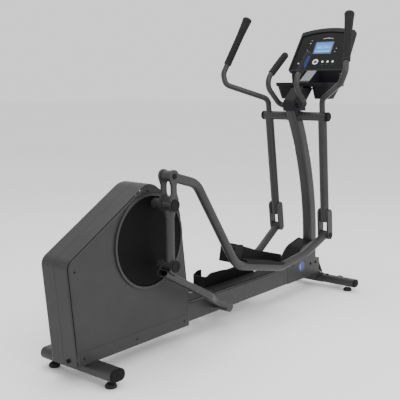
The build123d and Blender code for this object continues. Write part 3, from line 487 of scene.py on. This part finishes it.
LINK_OUTER = 0.212  # outer face of the rocker's pin, from the middle plane
HAND_PIN_OUTER = 0.215
ROCKER_CAP = (0.0265, 0.0045)
HAND_CAP = (0.0145, 0.0035)
for side_name, side in SIDES:
    rocker = joint_place(f"{side_name}_rocker_pivot")
    cap(f"{side_name}_rocker_pin_cap", rocker, LINK_OUTER, side, ROCKER_CAP, f"{side_name}_rocker")
    hand = joint_place(f"{side_name}_pedal_lever_pivot")
    cap(f"{side_name}_hand_pin_cap", hand, HAND_PIN_OUTER, side, HAND_CAP, f"{side_name}_hand_lever")

BASE_BOLTS = ((0.866, 0.161), (0.808, 0.162))
BASE_SIDE = 0.055  # the base covers' outer face
BAR_BOLTS = (-0.098, -0.059, 0.059, 0.098)
BAR_BOLT_X = 0.938
MAST_FOOT_HALF = 0.075  # bolts nearer the middle than this stand on the mast's foot plate
MAST_FOOT_THICK = 0.0025
BASE_BOLT = (0.0075, 0.004)
BAR_BOLT = (0.009, 0.006)
for side_name, side in SIDES:
    for number, (x, z) in enumerate(BASE_BOLTS, 1):
        place = (x, side * BASE_SIDE, z)
        bolt(f"{side_name}_base_bolt_{number}", place, (0, side, 0), BASE_BOLT)
for number, y in enumerate(BAR_BOLTS, 1):
    bar_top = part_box("front_stabilizer")[1][2] + (MAST_FOOT_THICK if abs(y) < MAST_FOOT_HALF else 0.0)
    place = (BAR_BOLT_X, y, bar_top)
    bolt(f"front_bar_bolt_{number}", place, (0, 0, 1), BAR_BOLT)
HOUSING_SIDE = 0.085
HOUSING_SCREW = (0.0045, 0.0016)
HOUSING_SCREWS = (
    (-1.050, 0.486),
    (-0.625, 0.764),
    (-0.406, 0.537),
    (-1.010, 0.115),
    (-0.703, 0.115),
    (-0.385, 0.115),
)
for side_name, side in SIDES:
    for number, (x, z) in enumerate(HOUSING_SCREWS, 1):
        name = f"{side_name}_housing_screw_{number}"
        bolt(name, (x, side * HOUSING_SIDE, z), (0, side, 0), HOUSING_SCREW)

# ---------------------------------------------------------------- console face

INWARD = Vector(joint("start_button_press")["axis"])
FACE_UP = Vector((-INWARD.z, 0.0, INWARD.x))
PANEL_PROUD = 0.0035  # the panel's surface in front of the screen's middle
SCREEN_PROUD = 0.0025
PRINT = 0.00025  # thickness of a printed mark
PRINT_EDGE = 0.00005
LABEL_DROP = 0.117  # the button labels, below the screen's middle
PANEL_MARKS = (  # right and up in metres, width in millimetres
    (-0.095, 0.053, 6),
    (-0.098, 0.033, 9),
    (-0.104, -0.017, 5),
    (0.090, -0.007, 7),
    (0.086, -0.030, 6),
)


def face_matrix(right, up, proud):
    """A place on the console, from the screen's middle, facing the user."""
    origin = middle("console_screen") + FACE_UP * up + Vector((0.0, -right, 0.0)) - INWARD * proud
    return frame_of(origin, -INWARD, FACE_UP)


light_print = moulded_plastic("light_print", (0.34, 0.35, 0.36), 0.35, 2500.0, 0.00001)
dim_print = moulded_plastic("dim_print", (0.055, 0.058, 0.062), 0.4, 2500.0, 0.00001)
screen_dark = glowing("screen_dark", (0.02, 0.09, 0.26), 0.3)
screen_light = glowing("screen_light", (0.004, 0.15, 0.52), 0.28)
screen_pale = glowing("screen_pale", (0.030, 0.29, 0.66), 0.32)


def console_print(name, outline, right, up, material, proud=PANEL_PROUD):
    """A thin printed mark on the console's face."""
    plate(name, outline, PRINT, face_matrix(right, up, proud), material, "root", PRINT_EDGE)


def console_graphics():
    """Generic printed marks: an arc, dots beside the screen and labels under the buttons."""
    arc = ribbon([(-0.034, -0.003), (0.0, 0.002), (0.036, -0.003)], [0.002, 0.004, 0.002])
    console_print("panel_arc", arc, 0.012, 0.065, light_print)
    for number, (right, up, size) in enumerate(PANEL_MARKS, 1):
        outline = round_box(size / 1000, size / 1600, size / 4000)
        console_print(f"panel_mark_{number}", outline, right, up, light_print)
    for number, right in enumerate((0.027, 0.061, 0.095), 1):
        label = round_box(0.012, 0.0022, 0.0009)
        console_print(f"button_label_{number}", label, right, -LABEL_DROP, dim_print)
    console_print("left_dot", round_box(0.011, 0.011, 0.0052), -0.136, -0.108, light_print)


def screen_picture():
    """A generic lit display: a chart above, a light band of figures below."""
    field = round_box(0.104, 0.066, 0.003)
    console_print("screen_field", field, 0.0, 0.0, screen_light, SCREEN_PROUD)
    over = SCREEN_PROUD + PRINT
    band_width = 0.098
    for name, height, up, material in (
        ("screen_head", 0.007, 0.026, screen_dark),
        ("screen_band_dark", 0.005, -0.0135, screen_dark),
        ("screen_band_low", 0.013, -0.0245, screen_pale),
    ):
        console_print(name, round_box(band_width, height, 0.001), 0.0, up, material, over)
    bar_count, bar_pitch, bar_width = 12, 0.0078, 0.0052
    for column in range(bar_count):
        height = 0.006 + 0.018 * abs(math.sin(0.55 * column + 0.4))
        bar = shifted(round_box(bar_width, height, 0.0006), 0.0, height / 2 - 0.013)
        right = (column - (bar_count - 1) / 2) * bar_pitch
        console_print(f"screen_bar_{column + 1}", bar, right, 0.006, screen_pale, over)


def nav_centre():
    """The dark middle of the ring button, with a small lighter boss."""
    outward = -INWARD
    front = max(vertex.co.dot(outward) for vertex in NODES["nav_ring"].data.vertices)
    centre = middle("nav_ring")
    dish_depth = 0.001
    dish_floor = centre + outward * (front - centre.dot(outward) - dish_depth)
    disc = [(0.0, 0.0), (0.0101, 0.0), (0.0101, 0.0004), (0.0094, 0.0008), (0.0, 0.0008)]
    boss = [(0.0, 0.0), (0.0030, 0.0), (0.0030, 0.0012), (0.0025, 0.0016), (0.0, 0.0016)]
    matrix = frame_of(dish_floor, outward, FACE_UP)
    lathe("nav_centre", disc, matrix, MATERIALS["panel_plastic"], "nav_ring")
    lathe("nav_boss", boss, matrix, dim_print, "nav_ring")


console_graphics()
screen_picture()
nav_centre()

# ---------------------------------------------------------------- light plate on the tray's bridge

PLATE_LOW = Vector((0.772, 0.0, 1.2335))
PLATE_HIGH = Vector((0.866, 0.0, 1.3005))
PLATE_WIDTH = 0.062
PLATE_THICK = 0.0012
PLATE_LINES = ((-0.012, 0.040, 18), (0.010, 0.040, 12), (0.0, -0.042, 48))  # metres, metres, millimetres
PLATE_DOTS = ((-0.014, 0.014), (0.012, 0.018), (-0.010, -0.014), (0.013, -0.010))
silver = coated_metal("silver_paint", (0.16, 0.17, 0.185), 0.38, 900.0, 0.00004)
slope = (PLATE_HIGH - PLATE_LOW).normalized()
plate_matrix = frame_of((PLATE_LOW + PLATE_HIGH) / 2, (-slope.z, 0.0, slope.x), slope)
plate_outline = round_box(PLATE_WIDTH, (PLATE_HIGH - PLATE_LOW).length, 0.006)
plate("info_plate", plate_outline, PLATE_THICK, plate_matrix, silver, "root")
faint_print = coated_metal("faint_print", (0.075, 0.08, 0.088), 0.42, 900.0, 0.00004)
plate_face = plate_matrix @ Matrix.Translation((0.0, 0.0, PLATE_THICK))


def plate_print(name, outline):
    """A thin generic mark on the information plate."""
    plate(name, outline, PRINT, plate_face, faint_print, "root", PRINT_EDGE)


for number, (across, up, width) in enumerate(PLATE_LINES, 1):
    plate_print(f"plate_line_{number}", shifted(round_box(width / 1000, 0.0022, 0.0009), across, up))
for number, (across, up) in enumerate(PLATE_DOTS, 1):
    plate_print(f"plate_dot_{number}", shifted(round_box(0.009, 0.009, 0.0043), across, up))

# ---------------------------------------------------------------- generic accent on the base covers, with a painted glow

ACCENT_X = 0.706
ACCENT_Z = 0.164
ACCENT_RADIUS = 0.026
HALO_RADIUS = ACCENT_RADIUS * 1.28
CRESCENT_TURNS = (-1.1, -0.55, 0.0, 0.55, 1.1)
CRESCENT_WIDTHS = [0.001, 0.006, 0.009, 0.006, 0.001]
# The blue disc and the darker blue ring under it are printed marks given a faint emission: a painted glow, since
# the badge is no lamp.
accent_blue_glow = glowing("accent_blue_glow", (0.012, 0.035, 0.26), 0.10, 0.3)
accent_halo_glow = glowing("accent_halo_glow", (0.02, 0.03, 0.075), 0.05, 0.3)


def accent_place(side, layer):
    """A base cover's accent, facing outward, with layer prints already under it."""
    return frame_of((ACCENT_X, side * (BASE_SIDE + layer * PRINT), ACCENT_Z), (0, side, 0))


def accent_disc(name, radius, side, layer, material):
    """A flat round print on a base cover; the accent's materials here are emissive, a painted glow."""
    outline = round_box(2 * radius, 2 * radius, radius * 0.999, 14)
    plate(name, outline, PRINT, accent_place(side, layer), material, "root", PRINT_EDGE)


for side_name, side in SIDES:
    accent_disc(f"{side_name}_accent_halo_glow", HALO_RADIUS, side, 0, accent_halo_glow)
    accent_disc(f"{side_name}_accent_disc", ACCENT_RADIUS, side, 1, accent_blue_glow)
    arc = [(0.016 * math.cos(turn) * side, 0.017 * math.sin(turn)) for turn in CRESCENT_TURNS]
    crescent = ribbon(arc, CRESCENT_WIDTHS, 8)
    name = f"{side_name}_accent_mark"
    plate(name, crescent, PRINT, accent_place(side, 2), light_print, "root", PRINT_EDGE)

# ---------------------------------------------------------------- treads and grips

TREAD_BACK = 0.085  # plain floor behind the ribs
TREAD_FRONT = 0.055
TREAD_SIDE = 0.012
RIB_PITCH, RIB_WIDTH, RIB_HEIGHT = 0.0125, 0.0052, 0.0022
GRIP_RADIUS, GRIP_END_RADIUS, PULSE_RADIUS = 0.0213, 0.0280, 0.0198
CONTACT_PROUD, CONTACT_THICK = 0.0002, 0.0007
# The contact plates are real, but their blue tint is a painted reflection on the grip, not the metal's own colour.
contact_metal_painted_reflection = turned_metal("contact_metal_painted_reflection", (0.035, 0.048, 0.15), 0.34)


def flat_face(node, direction, least=0.75):
    """The widest flat face of a node towards direction: its normal, and its corners as vectors."""
    mesh = NODES[node].data
    groups = {}
    for polygon in mesh.polygons:
        normal = polygon.normal
        if normal.dot(direction) < least:
            continue
        depth = normal.dot(mesh.vertices[polygon.vertices[0]].co)
        key = (round(normal.x, 2), round(normal.y, 2), round(normal.z, 2), round(depth, 3))
        area, corners = groups.get(key, (0.0, []))
        corners = corners + [mesh.vertices[index].co.copy() for index in polygon.vertices]
        groups[key] = (area + polygon.area, corners)
    key = max(groups, key=lambda item: groups[item][0])
    return Vector(key[:3]).normalized(), groups[key][1]


def tread(side_name):
    """Moulded ribs along the floor of a foot tray."""
    normal, corners = flat_face(f"{side_name}_pedal", Vector((0, 0, 1)))
    ahead = Vector((normal.z, 0.0, -normal.x)).normalized()
    along = [corner.dot(ahead) for corner in corners]
    across = [corner.y for corner in corners]
    depth = corners[0].dot(normal)
    low, high = min(along) + TREAD_BACK, max(along) - TREAD_FRONT
    near, far = min(across) + TREAD_SIDE, max(across) - TREAD_SIDE
    count = int((far - near) / RIB_PITCH)
    start = (near + far - (count - 1) * RIB_PITCH) / 2
    body = f"{side_name}_pedal_lever"
    material = MATERIALS["pedal_plastic"]
    for number in range(count):
        y = start + number * RIB_PITCH
        centre = ahead * (low + high) / 2 + normal * depth + Vector((0, y, 0))
        matrix = frame_of(centre, normal, (0, 1, 0))
        name = f"{side_name}_tread_rib_{number + 1}"
        outline = round_box(high - low, RIB_WIDTH, RIB_WIDTH * 0.45, 4)
        plate(name, outline, RIB_HEIGHT, matrix, material, body, 0.0008)


def long_axis(node, side=0):
    """The two ends of the long axis of a node, or of its solid on one side, lower first."""
    points = [vertex.co for vertex in NODES[node].data.vertices if side * vertex.co.y >= 0]
    centre = sum(points, Vector()) / len(points)
    axis = Vector((0.3, 0.1, 1.0)).normalized()
    for _ in range(40):
        pulls = ((point - centre) * (point - centre).dot(axis) for point in points)
        axis = sum(pulls, Vector()).normalized()
    if axis.z < 0:
        axis = -axis
    reach = [(point - centre).dot(axis) for point in points]
    return centre + axis * min(reach), centre + axis * max(reach), axis


def ribbed_sleeve(name, low, high, axis, radius_at, body, replaced):
    """A rubber grip: a lathed sleeve with fine rings between two smooth collars."""
    length = (high - low).length
    ring_pitch, ring_depth, collar, top_collar, chamfer = 0.0042, 0.0007, 0.013, 0.022, 0.002
    bottom = radius_at(0.0)
    profile = [(0.0, 0.0), (bottom - chamfer, 0.0), (bottom, chamfer), (bottom, collar)]
    z = collar
    while z < length - top_collar:
        radius = radius_at(z / length)
        profile.append((radius - ring_depth, z + ring_pitch * 0.15))
        profile.append((radius - ring_depth, z + ring_pitch * 0.35))
        profile.append((radius, z + ring_pitch * 0.5))
        profile.append((radius, z + ring_pitch))
        z += ring_pitch
    top = radius_at(1.0)
    end_round, steps = 0.0165, 9
    profile.append((top, length - end_round))
    for step in range(1, steps + 1):
        turn = math.radians(90 * step / steps)
        profile.append((top - end_round * (1 - math.cos(turn)), length - end_round * (1 - math.sin(turn))))
    profile.append((0.0, length))
    piece = lathe(name, profile, frame_of(low, axis), MATERIALS["grip_rubber"], body)
    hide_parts(replaced)


def pulse_contact(name, low, high, axis, side):
    """A curved metal contact on the outboard side of a fixed grip, with rounded ends; its blue tint and its size
    follow a painted reflection on the grip.
    """
    outward = Vector((-0.35, side, 0.0))
    outward = (outward - axis * outward.dot(axis)).normalized()
    across = axis.cross(outward)
    length = (high - low).length
    first, last, half_turn, rows, columns = 0.24, 0.80, math.radians(38), 28, 14
    bm = bmesh.new()
    grid = []
    for row in range(rows + 1):
        share = row / rows
        spread = half_turn * (1 - abs(2 * share - 1) ** 4) ** 0.5 + 0.02
        centre = low + axis * length * (first + (last - first) * share)
        turns = [spread * (2 * column / columns - 1) for column in range(columns + 1)]
        reach = PULSE_RADIUS + CONTACT_PROUD
        spokes = [outward * math.cos(turn) + across * math.sin(turn) for turn in turns]
        grid.append([bm.verts.new(centre + spoke * reach) for spoke in spokes])
    for here, after in zip(grid, grid[1:]):
        for k in range(columns):
            bm.faces.new((here[k], here[k + 1], after[k + 1], after[k]))
    bmesh.ops.recalc_face_normals(bm, faces=bm.faces)
    bmesh.ops.solidify(bm, geom=bm.faces[:], thickness=CONTACT_THICK)
    for face in bm.faces:
        face.smooth = True
    mesh = bpy.data.meshes.new(name)
    bm.to_mesh(mesh)
    bm.free()
    mesh.set_sharp_from_angle(angle=SHARP_ANGLE)
    new_object(name, mesh, contact_metal_painted_reflection, "root")


def flare(share):
    """The moving grip's radius, from its lower collar to its flared end."""
    if share < 0.5:
        return GRIP_RADIUS
    rise = (share - 0.5) / 0.5
    return GRIP_RADIUS + (GRIP_END_RADIUS - GRIP_RADIUS) * rise**1.6


def straight(share):
    """The fixed grip's radius, the same all along."""
    return PULSE_RADIUS


for side_name, side in SIDES:
    tread(side_name)
    low, high, axis = long_axis(f"{side_name}_grip")
    lever = f"{side_name}_hand_lever"
    ribbed_sleeve(f"{side_name}_grip_sleeve", low, high, axis, flare, lever, f"{side_name}_grip")
    low, high, axis = long_axis("pulse_grips", side)
    ribbed_sleeve(f"{side_name}_pulse_sleeve", low, high, axis, straight, "root", "pulse_grips")
    pulse_contact(f"{side_name}_pulse_contact", low, high, axis, side)

# ---------------------------------------------------------------- rings on the cross bars' end caps

CAP_RING = [
    (0.0, 0.0),
    (0.0135, 0.0),
    (0.0135, 0.0008),
    (0.0120, 0.0014),
    (0.0090, 0.0014),
    (0.0080, 0.0004),
    (0.0, 0.0004),
]
CAP_THICK = 0.010  # how far an end cap stands past its bar
REAR_BAR_WIDTH, FRONT_BAR_WIDTH = 0.080, 0.058
FRONT_BAR_DEPTH = 0.023  # the front bar's axis, below its top


def cap_rings(bar, width, axis_z):
    """A raised ring on each end cap of a cross bar."""
    low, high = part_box(f"{bar}_stabilizer")
    x = (low[0] + min(high[0], low[0] + width)) / 2
    for side_name, side in SIDES:
        place = frame_of((x, side * (high[1] + CAP_THICK), axis_z), (0, side, 0))
        name = f"{bar}_{side_name}_cap_ring"
        lathe(name, CAP_RING, place, MATERIALS["cap_plastic"], "root")


cap_rings("rear", REAR_BAR_WIDTH, middle("rear_stabilizer").z)
cap_rings("front", FRONT_BAR_WIDTH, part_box("front_stabilizer")[1][2] - FRONT_BAR_DEPTH)
